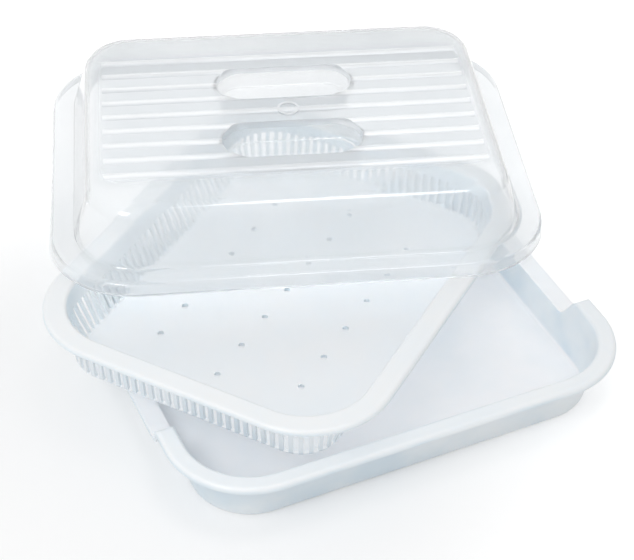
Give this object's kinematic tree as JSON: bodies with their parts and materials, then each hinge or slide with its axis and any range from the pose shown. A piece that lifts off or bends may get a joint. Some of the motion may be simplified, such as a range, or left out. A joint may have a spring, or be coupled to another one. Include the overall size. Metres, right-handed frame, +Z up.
{
  "type": "instrument disinfection tub",
  "caption": "Rectangular soaking tub with scooped short sides, a slotted sieve basket lying across its rim, and a clear domed lid with ribs and finger pockets.",
  "frame": {"origin": "centre of the tub's underside", "axes": "+Z up, X along the tub's long side, Y along its short side, away from the viewer"},
  "size_m": [0.4119, 0.4358, 0.1339],
  "materials": {
    "tub": "satin",
    "sieve_basket": "satin",
    "lid": "gloss"
  },
  "bodies": {
    "tub": {"tub": "tub"},
    "sieve_basket": {"sieve_basket": "sieve_basket"},
    "lid": {"lid": "lid"}
  },
  "joints": [
    {"name": "basket_lift", "type": "slide", "parent": "tub", "child": "sieve_basket", "axis": [0, 0, 1], "range_m": [0, 0.12]},
    {"name": "lid_lift", "type": "slide", "parent": "sieve_basket", "child": "lid", "axis": [0, 0, 1], "range_m": [0, 0.15]}
  ]
}
